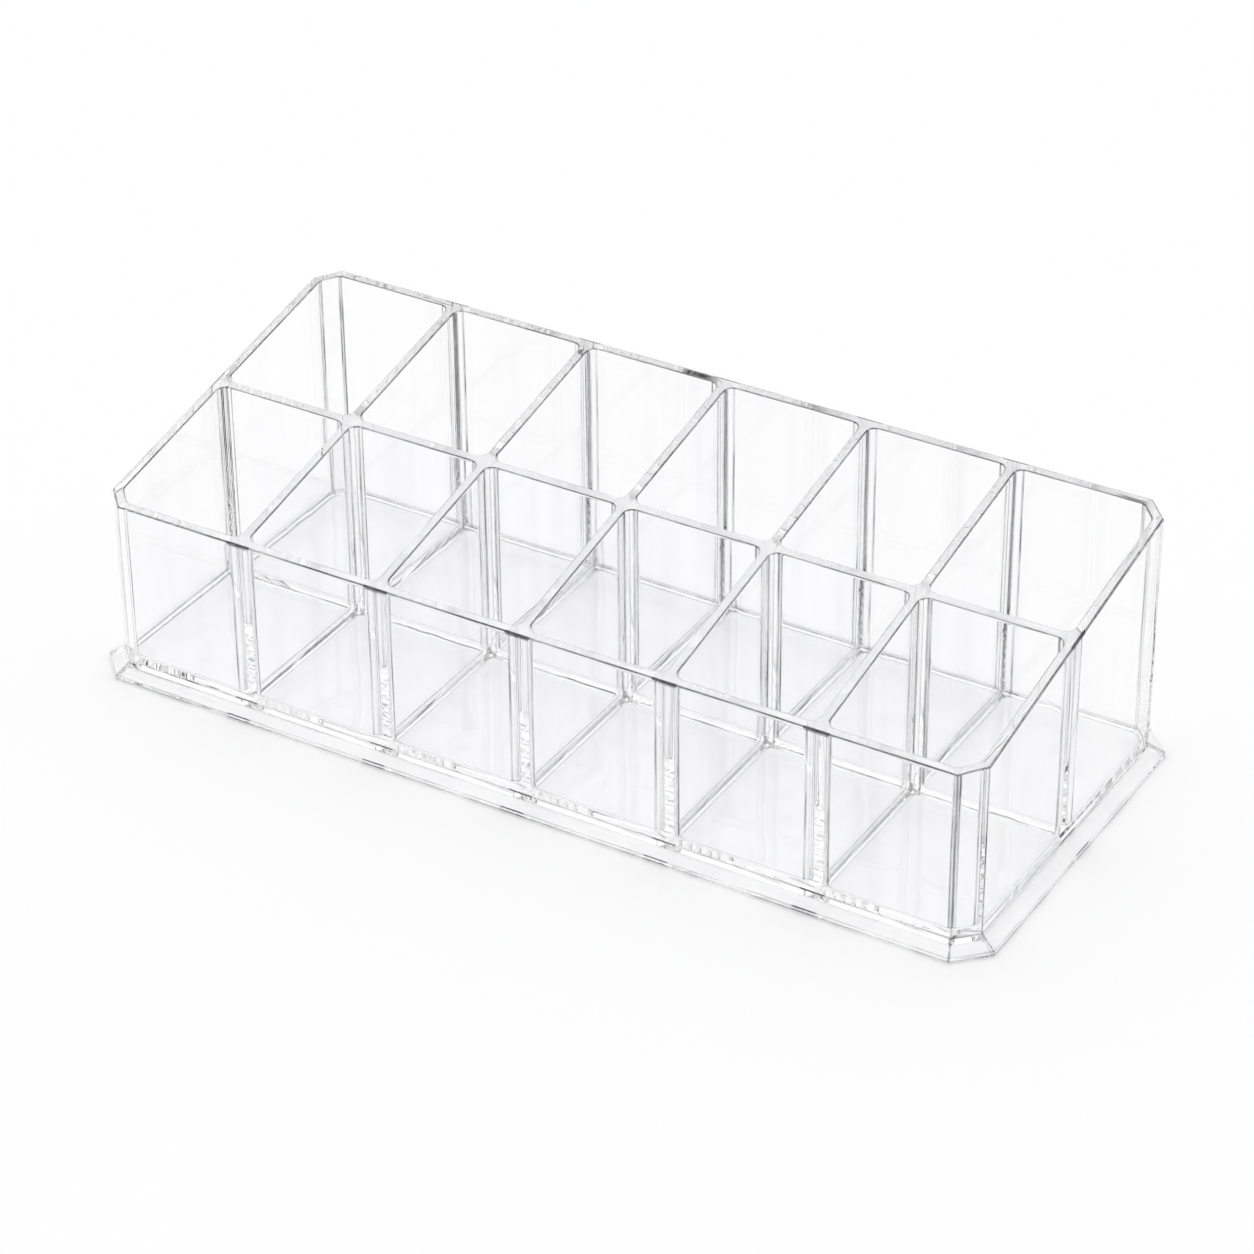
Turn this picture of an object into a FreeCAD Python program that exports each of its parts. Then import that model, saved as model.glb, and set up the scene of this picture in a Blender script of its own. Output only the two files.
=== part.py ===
import FreeCAD, Part
import math
import os
import Sketcher

# Vanity organizer: a clear open tray of two rows of six compartments.
# X runs along its length, Y from front to rear, Z up; the origin is the middle of its underside.
# The rim slopes up from the front to the rear, and the four upright corners are clipped.

COLUMNS = 6
MIDDLE_COLUMNS = COLUMNS - 2
ROWS = 2
TOLERANCE = 1e-6

DIMENSIONS = (
    ("body_length", 230.0, "length over the walls"),
    ("body_depth", 95.4, "depth over the walls"),
    ("front_height", 46.4, "rim height at the front face"),
    ("rear_height", 65.2, "rim height at the rear face"),
    ("corner_cut", 5.1, "leg of each clipped corner"),
    ("wall_thickness", 2.5, "outer walls"),
    ("divider_thickness", 2.5, "long divider and cross dividers"),
    ("inner_radius", 2.2, "hollow rounding where a divider meets a wall"),
    ("rim_radius", 0.5, "rounding of the outer rim edge"),
    ("plinth_reach", 3.8, "how far the plinth stands out from the walls"),
    ("plinth_lip", 1.2, "upright outer edge of the plinth"),
    ("plinth_bevel", 2.4, "rise of the plinth's sloping top"),
    ("kerb_height", 2.2, "upright step above the slope, which carries the walls"),
    ("pan_depth", 1.8, "depth of each compartment's pan below the kerb"),
    ("pan_radius", 1.5, "rounding between a pan's floor and its sides"),
    ("recess_depth", 2.0, "hollow under the floor"),
    ("foot_width", 1.1, "ring left standing round that hollow"),
)


class Size:
    """A length that keeps its value and the expression that drives it together."""

    def __init__(self, value, text):
        self.value = value
        self.text = text

    def __add__(self, other):
        other = as_size(other)
        return Size(self.value + other.value, f"({self.text} + {other.text})")

    def __sub__(self, other):
        other = as_size(other)
        return Size(self.value - other.value, f"({self.text} - {other.text})")

    def __mul__(self, other):
        other = as_size(other)
        return Size(self.value * other.value, f"({self.text} * {other.text})")

    def __truediv__(self, other):
        other = as_size(other)
        return Size(self.value / other.value, f"({self.text} / {other.text})")

    def __neg__(self):
        return Size(-self.value, f"(-1 * {self.text})")


def as_size(item):
    return item if isinstance(item, Size) else Size(item, str(item))


doc = FreeCAD.newDocument("vanity_organizer")
sheet = doc.addObject("Spreadsheet::Sheet", "dims")
for row, (alias, value, meaning) in enumerate(DIMENSIONS, start=1):
    sheet.set(f"A{row}", meaning)
    sheet.set(f"B{row}", str(value))
    sheet.setAlias(f"B{row}", alias)
doc.recompute()


def driven(alias):
    return Size(float(sheet.get(alias)), f"dims.{alias}")


body_length = driven("body_length")
body_depth = driven("body_depth")
front_height = driven("front_height")
rear_height = driven("rear_height")
corner_cut = driven("corner_cut")
wall = driven("wall_thickness")
divider = driven("divider_thickness")
inner_radius = driven("inner_radius")
rim_radius = driven("rim_radius")
plinth_reach = driven("plinth_reach")
plinth_lip = driven("plinth_lip")
plinth_bevel = driven("plinth_bevel")
kerb_height = driven("kerb_height")
pan_depth = driven("pan_depth")
pan_radius = driven("pan_radius")
recess_depth = driven("recess_depth")
foot_width = driven("foot_width")

# An outline of clipped corners moved in or out by one unit changes each leg by this much.
LEG_PER_OFFSET = Size(2 - math.sqrt(2), "(2 - sqrt(2))")

half_length = body_length / 2
half_depth = body_depth / 2
half_divider = divider / 2
inner_x = half_length - wall
inner_y = half_depth - wall
inner_cut = corner_cut - wall * LEG_PER_OFFSET
cell_width = (body_length - wall * 2 - divider * (COLUMNS - 1)) / COLUMNS
cell_depth = (body_depth - wall * 2 - divider * (ROWS - 1)) / ROWS
pitch = cell_width + divider
row_pitch = cell_depth + divider
bevel_level = plinth_lip + plinth_bevel
seat_level = bevel_level + kerb_height
floor_level = seat_level - pan_depth
rim_slope = (rear_height - front_height) / body_depth


# Outlines

class Outline:
    """A closed run of points, with an arc on some of the edges between them."""

    def __init__(self):
        self.points = []
        self.arcs = {}

    def to(self, x, y):
        self.points.append((x, y))
        return self

    def arc(self, centre_x, centre_y, radius, turn):
        """The edge that leaves the last point is an arc; turn is 1 anticlockwise, -1 clockwise."""
        self.arcs[len(self.points) - 1] = (centre_x, centre_y, radius, turn)
        return self


def polygon(points):
    outline = Outline()
    for x, y in points:
        outline.to(x, y)
    return outline


def clipped_rectangle(half_x, half_y, leg):
    short_x = half_x - leg
    short_y = half_y - leg
    return polygon((
        (-short_x, -half_y), (short_x, -half_y), (half_x, -short_y), (half_x, short_y),
        (short_x, half_y), (-short_x, half_y), (-half_x, short_y), (-half_x, -short_y),
    ))


def inset_outline(inset):
    """The outline of the walls moved in by an inset, or out where the inset is negative."""
    return clipped_rectangle(half_length - inset, half_depth - inset, corner_cut - inset * LEG_PER_OFFSET)


def rounded_rectangle(left, right, front, rear, radius):
    outline = Outline()
    outline.to(left + radius, front).to(right - radius, front)
    outline.arc(right - radius, front + radius, radius, 1)
    outline.to(right, front + radius).to(right, rear - radius)
    outline.arc(right - radius, rear - radius, radius, 1)
    outline.to(right - radius, rear).to(left + radius, rear)
    outline.arc(left + radius, rear - radius, radius, 1)
    outline.to(left, rear - radius).to(left, front + radius)
    outline.arc(left + radius, front + radius, radius, 1)
    return outline


def corner_pan(side_x, side_y):
    """Pan of an end compartment: clipped at the outer corner and rounded at the other three."""
    def x_at(size):
        return size * side_x

    def y_at(size):
        return size * side_y

    turn = -side_x * side_y
    far_x = inner_x - cell_width
    near_y = half_divider
    outline = Outline()
    outline.to(x_at(inner_x - inner_cut), y_at(inner_y))
    outline.to(x_at(far_x + inner_radius), y_at(inner_y))
    outline.arc(x_at(far_x + inner_radius), y_at(inner_y - inner_radius), inner_radius, -turn)
    outline.to(x_at(far_x), y_at(inner_y - inner_radius))
    outline.to(x_at(far_x), y_at(near_y + inner_radius))
    outline.arc(x_at(far_x + inner_radius), y_at(near_y + inner_radius), inner_radius, -turn)
    outline.to(x_at(far_x + inner_radius), y_at(near_y))
    outline.to(x_at(inner_x - inner_radius), y_at(near_y))
    outline.arc(x_at(inner_x - inner_radius), y_at(near_y + inner_radius), inner_radius, -turn)
    outline.to(x_at(inner_x), y_at(near_y + inner_radius))
    outline.to(x_at(inner_x), y_at(inner_y - inner_cut))
    return outline


def flared_strip(start, end):
    """Plan of a divider along Y: both ends widen in hollow quarter rounds to meet what they butt on."""
    wide = half_divider + inner_radius
    outline = Outline()
    outline.to(-wide, start).to(wide, start)
    outline.arc(wide, start + inner_radius, inner_radius, -1)
    outline.to(half_divider, start + inner_radius).to(half_divider, end - inner_radius)
    outline.arc(wide, end - inner_radius, inner_radius, -1)
    outline.to(wide, end).to(-wide, end)
    outline.arc(-wide, end - inner_radius, inner_radius, -1)
    outline.to(-half_divider, end - inner_radius).to(-half_divider, start + inner_radius)
    outline.arc(-wide, start + inner_radius, inner_radius, -1)
    return outline


def turned(outline):
    """The same outline with its length along X instead of Y."""
    result = Outline()
    for x, y in outline.points:
        result.to(y, -x)
    for edge, (x, y, radius, turn) in outline.arcs.items():
        result.arcs[edge] = (y, -x, radius, turn)
    return result


# Sketches and features

def new_body(label):
    body = doc.addObject("PartDesign::Body", label)
    body.Label = label
    return body


def origin_feature(body, role):
    return next(item for item in body.Origin.OriginFeatures if item.Role == role)


def new_sketch(body, name, role="XY_Plane", level=None):
    sketch = body.newObject("Sketcher::SketchObject", f"{body.Name}_{name}")
    sketch.AttachmentSupport = [(origin_feature(body, role), "")]
    sketch.MapMode = "FlatFace"
    if level is not None:
        sketch.setExpression("AttachmentOffset.Base.z", level.text)
    return sketch


def hold(sketch, kind, edge, end, size):
    """Pins one coordinate of a point to a driven distance from the sketch's origin."""
    if size.value >= 0:
        index = sketch.addConstraint(Sketcher.Constraint(kind, -1, 1, edge, end, size.value))
        sketch.setExpression(f"Constraints[{index}]", size.text)
    else:
        index = sketch.addConstraint(Sketcher.Constraint(kind, edge, end, -1, 1, -size.value))
        sketch.setExpression(f"Constraints[{index}]", (-size).text)


def draw(sketch, outline):
    """Draws a closed outline in which every point and radius follows the sheet."""
    corners = [FreeCAD.Vector(x.value, y.value, 0) for x, y in outline.points]
    count = len(corners)
    edges = []
    for number, start in enumerate(corners):
        finish = corners[(number + 1) % count]
        if number in outline.arcs:
            x, y, radius, turn = outline.arcs[number]
            centre = FreeCAD.Vector(x.value, y.value, 0)
            first, last = (start, finish) if turn > 0 else (finish, start)
            angle_from = math.atan2(first.y - centre.y, first.x - centre.x)
            angle_to = math.atan2(last.y - centre.y, last.x - centre.x)
            circle = Part.Circle(centre, FreeCAD.Vector(0, 0, 1), radius.value)
            index = sketch.addGeometry(Part.ArcOfCircle(circle, angle_from, angle_to))
            ends = (1, 2) if turn > 0 else (2, 1)
        else:
            index = sketch.addGeometry(Part.LineSegment(start, finish))
            ends = (1, 2)
        edges.append((index, ends))
    for number, (index, ends) in enumerate(edges):
        next_index, next_ends = edges[(number + 1) % count]
        sketch.addConstraint(Sketcher.Constraint("Coincident", index, ends[1], next_index, next_ends[0]))
    for number, (index, ends) in enumerate(edges):
        x, y = outline.points[number]
        hold(sketch, "DistanceX", index, ends[0], x)
        hold(sketch, "DistanceY", index, ends[0], y)
        if number in outline.arcs:
            radius = outline.arcs[number][2]
            constraint = sketch.addConstraint(Sketcher.Constraint("Radius", index, radius.value))
            sketch.setExpression(f"Constraints[{constraint}]", radius.text)


def pad(body, name, sketch, length):
    feature = body.newObject("PartDesign::Pad", f"{body.Name}_{name}")
    feature.Profile = sketch
    feature.setExpression("Length", length.text)
    body.Tip = feature
    return feature


def pocket(body, name, sketch, depth=None, upward=False):
    """A cut of the given depth, or right through to both sides where no depth is given."""
    feature = body.newObject("PartDesign::Pocket", f"{body.Name}_{name}")
    feature.Profile = sketch
    feature.Reversed = upward
    if depth is None:
        feature.SideType = "Symmetric"
        feature.Type = "ThroughAll"
    else:
        feature.setExpression("Length", depth.text)
    body.Tip = feature
    return feature


def fillet(body, name, base, edges, radius):
    feature = body.newObject("PartDesign::Fillet", f"{body.Name}_{name}")
    feature.Base = (base, edges)
    feature.setExpression("Radius", radius.text)
    body.Tip = feature
    return feature


def edges_where(feature, test):
    """Names of the feature's edges whose corner points all pass the test."""
    names = []
    for number, edge in enumerate(feature.Shape.Edges, start=1):
        if all(test(vertex.Point) for vertex in edge.Vertexes):
            names.append(f"Edge{number}")
    return names


# The tray: plinth, kerb, pans and hollow underside

def make_tray():
    body = new_body("base_tray")
    plinth_cut = corner_cut + plinth_reach * LEG_PER_OFFSET
    plinth_outline = clipped_rectangle(half_length + plinth_reach, half_depth + plinth_reach, plinth_cut)
    wall_outline = clipped_rectangle(half_length, half_depth, corner_cut)

    foot = new_sketch(body, "foot")
    draw(foot, plinth_outline)
    pad(body, "lip", foot, plinth_lip)

    bevel_foot = new_sketch(body, "bevel_foot", level=plinth_lip)
    draw(bevel_foot, plinth_outline)
    bevel_top = new_sketch(body, "bevel_top", level=bevel_level)
    draw(bevel_top, wall_outline)
    bevel = body.newObject("PartDesign::AdditiveLoft", "base_tray_bevel")
    bevel.Profile = bevel_foot
    bevel.Sections = [bevel_top]
    bevel.Ruled = True
    body.Tip = bevel

    kerb = new_sketch(body, "kerb_outline", level=bevel_level)
    draw(kerb, wall_outline)
    pad(body, "kerb", kerb, kerb_height)

    ends = new_sketch(body, "end_pan_outlines", level=seat_level)
    for side_x in (-1, 1):
        for side_y in (-1, 1):
            draw(ends, corner_pan(side_x, side_y))
    pocket(body, "end_pans", ends, pan_depth)

    first_left = -inner_x + pitch
    middle = new_sketch(body, "middle_pan_outline", level=seat_level)
    draw(middle, rounded_rectangle(
        first_left, first_left + cell_width, -inner_y, -half_divider, inner_radius))
    middle_pan = pocket(body, "middle_pan", middle, pan_depth)
    pans = body.newObject("PartDesign::LinearPattern", "base_tray_middle_pans")
    pans.Originals = [middle_pan]
    pans.Direction = (origin_feature(body, "X_Axis"), [""])
    pans.setExpression("Length", (pitch * (MIDDLE_COLUMNS - 1)).text)
    pans.Occurrences = MIDDLE_COLUMNS
    pans.Direction2 = (origin_feature(body, "Y_Axis"), [""])
    pans.setExpression("Length2", (row_pitch * (ROWS - 1)).text)
    pans.Occurrences2 = ROWS
    body.Tip = pans

    # The hollow's sides run parallel to the bevel, so the plinth is a skirt of even thickness.
    foot_inset = foot_width - plinth_reach
    roof_inset = foot_inset + recess_depth * plinth_reach / plinth_bevel
    hollow_foot = new_sketch(body, "hollow_foot")
    draw(hollow_foot, inset_outline(foot_inset))
    hollow_roof = new_sketch(body, "hollow_roof", level=recess_depth)
    draw(hollow_roof, inset_outline(roof_inset))
    underside = body.newObject("PartDesign::SubtractiveLoft", "base_tray_hollow")
    underside.Profile = hollow_foot
    underside.Sections = [hollow_roof]
    underside.Ruled = True
    body.Tip = underside
    doc.recompute()

    floor_edges = edges_where(underside, lambda point: abs(point.z - floor_level.value) < TOLERANCE)
    fillet(body, "pan_rounding", underside, floor_edges, pan_radius)
    return body


# The upright pieces, all trimmed to the sloping rim

def trim_to_rim(body):
    """Cuts away everything above the sloping rim, a wall's thickness past the walls at both ends."""
    front = -half_depth - wall
    rear = half_depth + wall
    drop = wall * rim_slope
    top = rear_height + wall * 2
    profile = new_sketch(body, "above_rim", role="YZ_Plane")
    draw(profile, polygon((
        (front, front_height - drop), (rear, rear_height + drop), (rear, top), (front, top))))
    return pocket(body, "rim_slope", profile)


def upright(label, outline):
    """A piece that stands on the kerb and reaches up to the rim."""
    body = new_body(label)
    plan = new_sketch(body, "plan", level=seat_level)
    draw(plan, outline)
    pad(body, "panel", plan, rear_height + wall - seat_level)
    return body, trim_to_rim(body)


def make_wall(label, outer_start, outer_end, inner_end, inner_start):
    """A wall panel with mitred ends and a rounded outer rim edge."""
    body, trimmed = upright(label, polygon((outer_start, outer_end, inner_end, inner_start)))
    doc.recompute()
    start = FreeCAD.Vector(outer_start[0].value, outer_start[1].value, 0)
    along = FreeCAD.Vector(outer_end[0].value, outer_end[1].value, 0) - start

    def on_outer_rim(point):
        across = along.x * (point.y - start.y) - along.y * (point.x - start.x)
        return abs(across) < TOLERANCE * along.Length and point.z > seat_level.value + TOLERANCE

    fillet(body, "rim_rounding", trimmed, edges_where(trimmed, on_outer_rim), rim_radius)
    return body


def make_walls():
    outer = clipped_rectangle(half_length, half_depth, corner_cut).points
    inner = clipped_rectangle(inner_x, inner_y, inner_cut).points
    labels = ("front_wall", "front_right_corner", "right_wall", "rear_right_corner",
              "rear_wall", "rear_left_corner", "left_wall", "front_left_corner")
    walls = []
    for number, label in enumerate(labels):
        following = (number + 1) % len(labels)
        walls.append(make_wall(label, outer[number], outer[following], inner[following], inner[number]))
    return walls


def make_long_divider():
    body, _ = upright("long_divider", turned(flared_strip(-inner_x, inner_x)))
    return body


def make_cross_dividers():
    rows = (("front", -inner_y, -half_divider), ("rear", half_divider, inner_y))
    dividers = []
    for row_name, start, end in rows:
        for number in range(1, COLUMNS):
            body, _ = upright(f"{row_name}_divider_{number}", flared_strip(start, end))
            body.setExpression("Placement.Base.x", (pitch * (number - COLUMNS / 2)).text)
            dividers.append(body)
    return dividers


def check(pieces):
    for item in doc.Objects:
        if "Invalid" in item.State or "Error" in item.State:
            raise RuntimeError(f"{item.Name} failed: {item.State}")
    for piece in pieces:
        if piece.Shape.isNull() or not piece.Shape.isValid() or len(piece.Shape.Solids) != 1:
            raise RuntimeError(f"{piece.Label} is not one sound solid")
        for feature in piece.Group:
            if feature.TypeId in ("PartDesign::Pocket", "PartDesign::SubtractiveLoft"):
                removed = feature.BaseFeature.Shape.Volume - feature.Shape.Volume
                if removed < TOLERANCE:
                    raise RuntimeError(f"{feature.Name} cuts nothing")


pieces = [make_tray()] + make_walls() + [make_long_divider()] + make_cross_dividers()
doc.recompute()
check(pieces)
os.makedirs("parts", exist_ok=True)
for piece in pieces:
    piece.Shape.exportStep(f"parts/{piece.Label}.step")
    print(f"{piece.Label}: {piece.Shape.Volume:.1f} cubic mm, {len(piece.Shape.Faces)} faces")
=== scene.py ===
import math

import bmesh
import bpy
from mathutils import Matrix, Vector


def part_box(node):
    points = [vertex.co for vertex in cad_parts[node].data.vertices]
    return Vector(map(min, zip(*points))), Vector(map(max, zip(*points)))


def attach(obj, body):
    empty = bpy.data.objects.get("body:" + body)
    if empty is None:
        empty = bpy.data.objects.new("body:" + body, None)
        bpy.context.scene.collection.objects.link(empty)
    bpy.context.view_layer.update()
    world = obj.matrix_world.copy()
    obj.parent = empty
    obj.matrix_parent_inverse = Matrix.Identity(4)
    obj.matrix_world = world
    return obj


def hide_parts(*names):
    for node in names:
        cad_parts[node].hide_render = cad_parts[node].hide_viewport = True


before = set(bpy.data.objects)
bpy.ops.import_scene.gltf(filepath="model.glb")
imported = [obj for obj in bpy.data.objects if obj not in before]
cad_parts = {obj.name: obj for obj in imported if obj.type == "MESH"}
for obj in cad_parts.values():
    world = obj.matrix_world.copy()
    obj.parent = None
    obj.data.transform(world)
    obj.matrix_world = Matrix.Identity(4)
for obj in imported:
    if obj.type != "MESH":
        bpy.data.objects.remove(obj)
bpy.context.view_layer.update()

bl_info = {
    "name": "Vanity organizer",
    "version": (1, 0, 0),
    "blender": (4, 5, 0),
    "location": "View3D > Sidebar > Organizer",
    "description": "Builds a clear vanity organizer of two rows of six compartments",
    "category": "Add Mesh",
}

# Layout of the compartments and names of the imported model's upright nodes.
COLUMNS = 6
ROW_NAMES = ("front", "rear")
SIDES = ("front_wall", "right_wall", "rear_wall", "left_wall")
CORNERS = ("front_right_corner", "rear_right_corner", "rear_left_corner", "front_left_corner")
LONG_DIVIDER = "long_divider"

# Steps in which curves are drawn.
ARC_STEPS = 10
CLIP_STEPS = 3
RIM_STEPS = 4
PAN_STEPS = 6
EDGE_STEPS = 3

# An edge sharper than this angle is shaded as an edge.
SHARP_ANGLE = math.radians(35)
# Length of the clear run beside each end of a straight compartment side, in metres.
SHOULDER = 0.0006
# Points nearer than this are the same point, in metres.
FINE = 1e-7
# Growth of a clipped corner's leg for each unit by which the outline moves out.
LEG_PER_OFFSET = 2 - math.sqrt(2)

# Mesh attributes: cemented faces, and how dark the painted lines along level and upright edges are; these
# painted dark lines stand in for reflections and refractions at the edges.
JOINT_MARK = "joint_face"
LEVEL_MARK = "level_line"
UPRIGHT_MARK = "upright_line"

# Darkness of the painted edge lines, which stand in for reflections and refractions, step by step across
# each rounding.
RIM_LINE = (0.6, 1.05, 0.8, 0.4, 0.2)
HOLLOW_LINE = (0.0, 1.0, 0.85, 0.3, 0.2, 0.15, 0.2, 0.3, 0.85, 1.0, 0.0)
BEND_LINE = (0.0, 0.9, 1.0, 0.7, 1.0, 0.9, 0.0)
PAN_LINE = (0.0, 0.7, 0.2, 0.0, 0.2, 0.7, 0.0)
BEVEL_LINE = 0.75
LIP_LINE = 0.75
FOOT_LINE = (1.0, 1.2)

# Painted dark dashes, standing in for refraction, where a divider meets a wall: share of the darkness
# along the wall and down it.
DASH_LINE = ((-0.95, 0.0), (-0.85, 0.8), (-0.4, 1.0), (0.4, 1.0), (0.85, 0.8), (0.95, 0.0))
DASH_RINGS = ((0.75, 1.0), (1.0, 0.0))
WALL_DASH = 2.4
PLINTH_DASH = 1.2
# Strength of the painted grey reflection on the flat tops of the cross dividers' rims.
CROSS_RIM_PAINTED_REFLECTION = 0.4
# Darkness of a point that no line crosses.
BARE = (0.0, 0.0)

# Features per metre along each axis in the patterns of the plastic and the floor.
STREAK_GRAIN = (150.0, 150.0, 9.0)
HAZE_GRAIN = (70.0, 70.0, 45.0)
WAVE_GRAIN = (55.0, 55.0, 22.0)
LEVEL_BREAK_GRAIN = (80.0, 80.0, 80.0)
UPRIGHT_BREAK_GRAIN = (1600.0, 1600.0, 60.0)
CARD_GRAIN = (900.0, 900.0, 900.0)
REFRACTION = 1.49

# The room's light: share of the way up at which it changes, and the way in which it brightens.
WALL_HEIGHTS = (0.1, 0.3)
CEILING_HEIGHTS = (0.6, 0.8)
LIGHT_LEAN = (-0.16, 0.24, 0.0)
LIGHT_PATHS = {
    "blur_glossy": 0.0,
    "max_bounces": 32,
    "transmission_bounces": 32,
    "glossy_bounces": 24,
    "transparent_max_bounces": 64,
}

# The floor lies this far below the part, in metres.
FLOOR_DROP = 0.0002

# The camera that fits the photograph.
CAMERA_PLACE = (0.4342535, -0.7222756, 0.5629594)
CAMERA_LOOK = (-0.432893, 0.721285, -0.540695)
CAMERA_UP = (-0.271040, 0.467909, 0.841189)
CAMERA_SHIFT = (-2.64 / 1254, 2.84 / 1254)
SENSOR_WIDTH = 36.0


def frame_sizes():
    """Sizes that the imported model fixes, in metres."""
    front_low, front_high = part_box("front_wall")
    rear_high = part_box("rear_wall")[1]
    right_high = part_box("right_wall")[1]
    left_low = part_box("left_wall")[0]
    tray_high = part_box("base_tray")[1]
    long_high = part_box(LONG_DIVIDER)[1]
    depth = rear_high.y - front_low.y
    slope = (long_high.z - front_high.z) / (long_high.y - front_high.y)
    front_height = front_high.z - (front_high.y - front_low.y) * slope
    return {
        "body_length": right_high.x - left_low.x,
        "body_depth": depth,
        "front_height": front_height,
        "rear_height": front_height + depth * slope,
        "corner_cut": right_high.x - front_high.x,
        "wall": front_high.y - front_low.y,
        "seat_level": front_low.z,
        "plinth_reach": tray_high.x - right_high.x,
    }


FRAME_SIZES = frame_sizes()


def length(name, description, default):
    return bpy.props.FloatProperty(
        name=name, description=description, default=default, min=0.0, precision=5,
        subtype="DISTANCE", unit="LENGTH")


class OrganizerSizes(bpy.types.PropertyGroup):
    """Sizes of the organizer's walls, dividers and tray."""
    body_length: length("Length", "Length over the walls", FRAME_SIZES["body_length"])
    body_depth: length("Depth", "Depth over the walls", FRAME_SIZES["body_depth"])
    front_height: length("Front height", "Rim height at the front face", FRAME_SIZES["front_height"])
    rear_height: length("Rear height", "Rim height at the rear face", FRAME_SIZES["rear_height"])
    corner_cut: length("Corner cut", "Leg of each clipped corner", FRAME_SIZES["corner_cut"])
    wall: length("Wall", "Thickness of the outer walls", FRAME_SIZES["wall"])
    divider: length("Divider", "Thickness of the dividers", 0.0025)
    hollow_round: length("Hollow round", "Hollow rounding where a divider meets a wall", 0.0022)
    clip_round: length("Clip round", "Hollow rounding inside a clipped corner", 0.0018)
    corner_round: length("Corner round", "Rounding of the outer upright edges", 0.0007)
    outer_rim_round: length("Outer rim round", "Rounding of the rim's outer edge", 0.0005)
    inner_rim_round: length("Inner rim round", "Rounding of the rim's edges inside", 0.00035)
    # The rim line and rim dash are painted dark marks that stand in for reflections and refractions at the
    # rim.
    rim_line: length("Rim line", "Width of the line along the flat of the rim", 0.00018)
    rim_dash: length("Rim dash", "Depth of the dark dash below the rim at each divider", 0.0002)
    seat_level: length("Seat level", "Height of the walls' feet on the tray", FRAME_SIZES["seat_level"])
    kerb_height: length("Kerb", "Upright step above the plinth's slope", 0.0022)
    plinth_reach: length("Plinth reach", "How far the plinth stands out", FRAME_SIZES["plinth_reach"])
    plinth_lip: length("Plinth lip", "Upright outer edge of the plinth", 0.0012)
    plinth_round: length("Plinth round", "Rounding of the plinth's edges", 0.0003)
    pan_depth: length("Pan depth", "Depth of each compartment's pan", 0.0018)
    pan_round: length("Pan round", "Rounding round each pan's floor", 0.0015)
    recess_depth: length("Recess", "Depth of the hollow under the floor", 0.002)
    foot_width: length("Foot width", "Ring left standing round that hollow", 0.0011)


class OrganizerFinish(bpy.types.PropertyGroup):
    """Look of the clear plastic."""
    clear_tint: bpy.props.FloatVectorProperty(
        name="Clear tint", description="Colour of the clearest plastic", size=3, subtype="COLOR",
        min=0.0, max=1.0, default=(0.998, 0.998, 1.0))
    flow_tint: bpy.props.FloatVectorProperty(
        name="Flow tint", description="Colour of the faint upright flow streaks", size=3,
        subtype="COLOR", min=0.0, max=1.0, default=(0.956, 0.956, 0.97))
    # The line tint colours the painted dark lines that stand in for reflections and refractions along
    # edges and where pieces meet.
    line_tint: bpy.props.FloatVectorProperty(
        name="Line tint", description="Colour of the lines along edges and cemented seams", size=3,
        subtype="COLOR", min=0.0, max=1.0, default=(0.02, 0.02, 0.024))
    smoothest: bpy.props.FloatProperty(
        name="Smoothest", description="Roughness of the best polished places", default=0.004,
        min=0.0, max=1.0)
    haze: bpy.props.FloatProperty(
        name="Haze", description="Roughness that handling adds in patches", default=0.02,
        min=0.0, max=1.0)
    ripple: bpy.props.FloatProperty(
        name="Ripple", description="Strength of the sheet's slow waviness", default=0.12,
        min=0.0, max=1.0)


class OrganizerStage(bpy.types.PropertyGroup):
    """Floor, light and camera."""
    floor_colour: bpy.props.FloatVectorProperty(
        name="Floor", description="Colour of the floor", size=3, subtype="COLOR",
        min=0.0, max=1.0, default=(0.97, 0.97, 0.972))
    floor_size: length("Floor size", "Width of the floor", 12.0)
    horizon_light: bpy.props.FloatProperty(
        name="Horizon light", description="Brightness of the room at eye level", default=1.0, min=0.0)
    middle_light: bpy.props.FloatProperty(
        name="Middle light", description="Brightness of the room half way up", default=0.87, min=0.0)
    top_light: bpy.props.FloatProperty(
        name="Top light", description="Brightness of the ceiling", default=1.17, min=0.0)
    lens: bpy.props.FloatProperty(
        name="Lens", description="Focal length in millimetres on a 36 mm sensor", default=123.07, min=1.0)


class Plan:
    """The levels and lines that neighbouring pieces share."""

    def __init__(self, sizes):
        self.sizes = sizes
        self.half_x = sizes.body_length / 2
        self.half_y = sizes.body_depth / 2
        self.half_divider = sizes.divider / 2
        self.inner_x = self.half_x - sizes.wall
        self.inner_y = self.half_y - sizes.wall
        self.inner_cut = sizes.corner_cut - sizes.wall * LEG_PER_OFFSET
        spare = sizes.body_length - 2 * sizes.wall - (COLUMNS - 1) * sizes.divider
        self.cell_width = spare / COLUMNS
        self.pitch = self.cell_width + sizes.divider
        self.slope = (sizes.rear_height - sizes.front_height) / sizes.body_depth
        self.seat = sizes.seat_level
        self.floor = sizes.seat_level - sizes.pan_depth
        self.bevel_top = sizes.seat_level - sizes.kerb_height

    def rim(self, y):
        """Height of the sloping rim."""
        return self.sizes.front_height + (y + self.half_y) * self.slope


class Spot:
    """A point of a plan line, with the way out of it there and the piece that owns the run after it.

    The line value is how dark the painted upright line is there, and the dash value how much a painted
    level one darkens.
    """

    def __init__(self, x, y, way, owner, line=0.0, dash=0.0):
        self.x = x
        self.y = y
        self.way = way
        self.owner = owner
        self.line = line
        self.dash = dash

    def moved(self, offset, level, line=0.0):
        """The point at a level, moved out by an offset, with its level and upright lines."""
        across = self.way[0] * offset
        along = self.way[1] * offset
        return (self.x + across, self.y + along, level, line * (1 + self.dash), self.line)


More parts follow.
